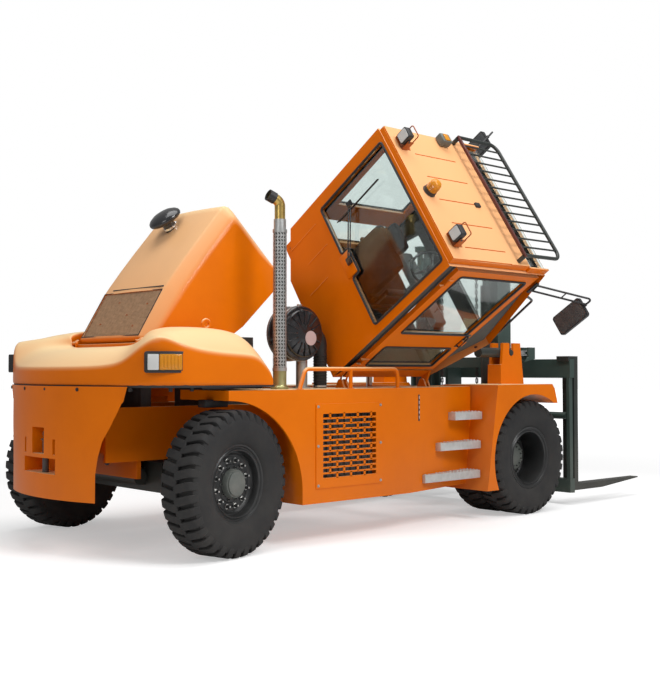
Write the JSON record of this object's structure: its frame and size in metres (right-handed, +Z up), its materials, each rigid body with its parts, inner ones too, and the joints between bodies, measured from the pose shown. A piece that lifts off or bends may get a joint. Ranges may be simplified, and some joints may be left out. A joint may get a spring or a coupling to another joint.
{
  "type": "diesel counterbalance forklift truck",
  "caption": "Heavy diesel counterbalance forklift, cab tilted to its side and hood open, with a lifting mast, fork carriage, twin drive wheels and steered rear wheels",
  "frame": {"origin": "on the floor, at the middle of the whole truck's box with its cab tilted to the right as stored; the truck's own middle plane is at Y = 0.454 m and the drive axle at X = 1.195 m", "axes": "+X forward to the fork tips, +Y to the driver's left, +Z up"},
  "size_m": [6.85, 3.7376, 3.765],
  "materials": {
    "orange_paint": "gloss orange machine paint",
    "dark_paint": "semi-gloss black-grey paint",
    "tread_rubber": "matt black rubber",
    "rim_paint": "semi-gloss charcoal paint",
    "galvanised": "dull zinc-coated steel",
    "cab_glazing": "clear slightly green glass",
    "lamp_plastic": "clear and amber lens",
    "black_plastic": "grained black plastic",
    "seat_cloth": "black woven cloth",
    "hose_rubber": "black rubber hose",
    "engine_iron": "dark cast iron",
    "grille_mesh": "fine screen in dull orange-brown",
    "bright_rod": "hard-chromed cylinder rod"
  },
  "bodies": {
    "chassis": {"chassis_frame": "orange_paint", "vent_panels": "orange_paint", "air_cleaner": "black_plastic", "counterweight": "orange_paint", "counterweight_cover": "orange_paint", "front_fenders": "orange_paint", "step_treads": "galvanised", "handrails": "orange_paint", "engine_block": "engine_iron", "intake_hose": "hose_rubber", "exhaust_stack": "galvanised", "drive_axle": "dark_paint", "steer_axle": "dark_paint", "tow_pin": "galvanised", "tail_lamps": "lamp_plastic"},
    "hood": {"hood_shell": "orange_paint", "hood_grille": "grille_mesh", "air_precleaner": "black_plastic"},
    "cab": {"cab_frame": "orange_paint", "cab_roof": "orange_paint", "cab_glass": "cab_glazing", "roof_guard": "dark_paint", "seat": "seat_cloth", "dashboard": "black_plastic", "roof_lamps": "lamp_plastic", "mirrors": "black_plastic", "right_door": "orange_paint", "right_door_glass": "cab_glazing"},
    "left_door": {"left_door": "orange_paint", "left_door_glass": "cab_glazing"},
    "cab_cylinder": {"cab_cylinder": "dark_paint"},
    "cab_cylinder_rod": {"cab_cylinder_rod": "bright_rod"},
    "left_knuckle": {"left_knuckle": "dark_paint"},
    "right_knuckle": {"right_knuckle": "dark_paint"},
    "rear_left_wheel": {"rear_left_rim": "rim_paint", "rear_left_tyre": "tread_rubber"},
    "rear_right_wheel": {"rear_right_rim": "rim_paint", "rear_right_tyre": "tread_rubber"},
    "front_left_wheels": {"front_left_rims": "rim_paint", "front_left_tyres": "tread_rubber"},
    "front_right_wheels": {"front_right_rims": "rim_paint", "front_right_tyres": "tread_rubber"},
    "mast": {"outer_mast": "dark_paint", "lift_cylinders": "dark_paint"},
    "inner_mast": {"inner_mast": "dark_paint"},
    "carriage": {"carriage": "dark_paint"},
    "left_fork": {"left_fork": "dark_paint"},
    "right_fork": {"right_fork": "dark_paint"},
    "tilt_cylinders": {"tilt_cylinders": "dark_paint"},
    "tilt_rods": {"tilt_rods": "bright_rod"}
  },
  "joints": [
    {"name": "hood_hinge", "type": "hinge", "parent": "chassis", "child": "hood", "pos_m": [-2.825, 0.45387, 1.65], "axis": [0, -1, 0], "range_deg": [-38, 0]},
    {"name": "cab_tilt", "type": "hinge", "parent": "chassis", "child": "cab", "pos_m": [1.195, -0.32613, 1.31], "axis": [1, 0, 0], "range_deg": [-57, 0]},
    {"name": "cab_cylinder_pivot", "type": "hinge", "parent": "chassis", "child": "cab_cylinder", "pos_m": [-0.105, 0.15387, 0.52], "axis": [1, 0, 0], "range_deg": [-22.5, 1]},
    {"name": "cab_cylinder_slide", "type": "slide", "parent": "cab_cylinder", "child": "cab_cylinder_rod", "axis": [0, -0.039, 0.9992], "range_m": [-0.587, 0.01]},
    {"name": "left_door_hinge", "type": "hinge", "parent": "cab", "child": "left_door", "pos_m": [-0.848, 0.01018, 2.91115], "axis": [0, 0.8387, -0.5446], "range_deg": [-80, 0]},
    {"name": "left_steer", "type": "hinge", "parent": "chassis", "child": "left_knuckle", "pos_m": [-2.505, 1.33387, 0.56], "axis": [0, 0, 1], "range_deg": [-61.5, 38.5]},
    {"name": "right_steer", "type": "hinge", "parent": "chassis", "child": "right_knuckle", "pos_m": [-2.505, -0.42613, 0.56], "axis": [0, 0, 1], "range_deg": [-61.5, 38.5]},
    {"name": "rear_left_spin", "type": "hinge", "parent": "left_knuckle", "child": "rear_left_wheel", "pos_m": [-2.55843, 1.59649, 0.56], "axis": [-0.1994, 0.9799, 0], "continuous": true},
    {"name": "rear_right_spin", "type": "hinge", "parent": "right_knuckle", "child": "rear_right_wheel", "pos_m": [-2.45157, -0.68875, 0.56], "axis": [-0.1994, 0.9799, 0], "continuous": true},
    {"name": "front_left_spin", "type": "hinge", "parent": "chassis", "child": "front_left_wheels", "pos_m": [1.195, 1.43287, 0.56], "axis": [0, 1, 0], "continuous": true},
    {"name": "front_right_spin", "type": "hinge", "parent": "chassis", "child": "front_right_wheels", "pos_m": [1.195, -0.52513, 0.56], "axis": [0, 1, 0], "continuous": true},
    {"name": "mast_tilt", "type": "hinge", "parent": "chassis", "child": "mast", "pos_m": [1.615, 0.45387, 0.45], "axis": [0, 1, 0], "range_deg": [-12, 6]},
    {"name": "mast_lift", "type": "slide", "parent": "mast", "child": "inner_mast", "axis": [0, 0, 1], "range_m": [-0.05, 1.7]},
    {"name": "carriage_lift", "type": "slide", "parent": "inner_mast", "child": "carriage", "axis": [0, 0, 1], "range_m": [-0.05, 1.7]},
    {"name": "left_fork_shift", "type": "slide", "parent": "carriage", "child": "left_fork", "axis": [0, 1, 0], "range_m": [-0.75, 0]},
    {"name": "right_fork_shift", "type": "slide", "parent": "carriage", "child": "right_fork", "axis": [0, -1, 0], "range_m": [-0.75, 0]},
    {"name": "tilt_cylinder_pivot", "type": "hinge", "parent": "chassis", "child": "tilt_cylinders", "pos_m": [1.365, 0.45387, 1.6], "axis": [0, 1, 0], "range_deg": [-6, 4]},
    {"name": "tilt_rod_slide", "type": "slide", "parent": "tilt_cylinders", "child": "tilt_rods", "axis": [1, 0, 0], "range_m": [-0.26, 0.14]}
  ],
  "couplings": [
    {"joint": "cab_cylinder_pivot", "follows": "cab_tilt", "ratio": 0.36},
    {"joint": "cab_cylinder_slide", "follows": "cab_tilt", "m_per_rad": 0.57},
    {"joint": "right_steer", "follows": "left_steer", "ratio": 1},
    {"joint": "carriage_lift", "follows": "mast_lift", "ratio": 1},
    {"joint": "tilt_cylinder_pivot", "follows": "mast_tilt", "ratio": 0.3},
    {"joint": "tilt_rod_slide", "follows": "mast_tilt", "m_per_rad": 1.156}
  ]
}
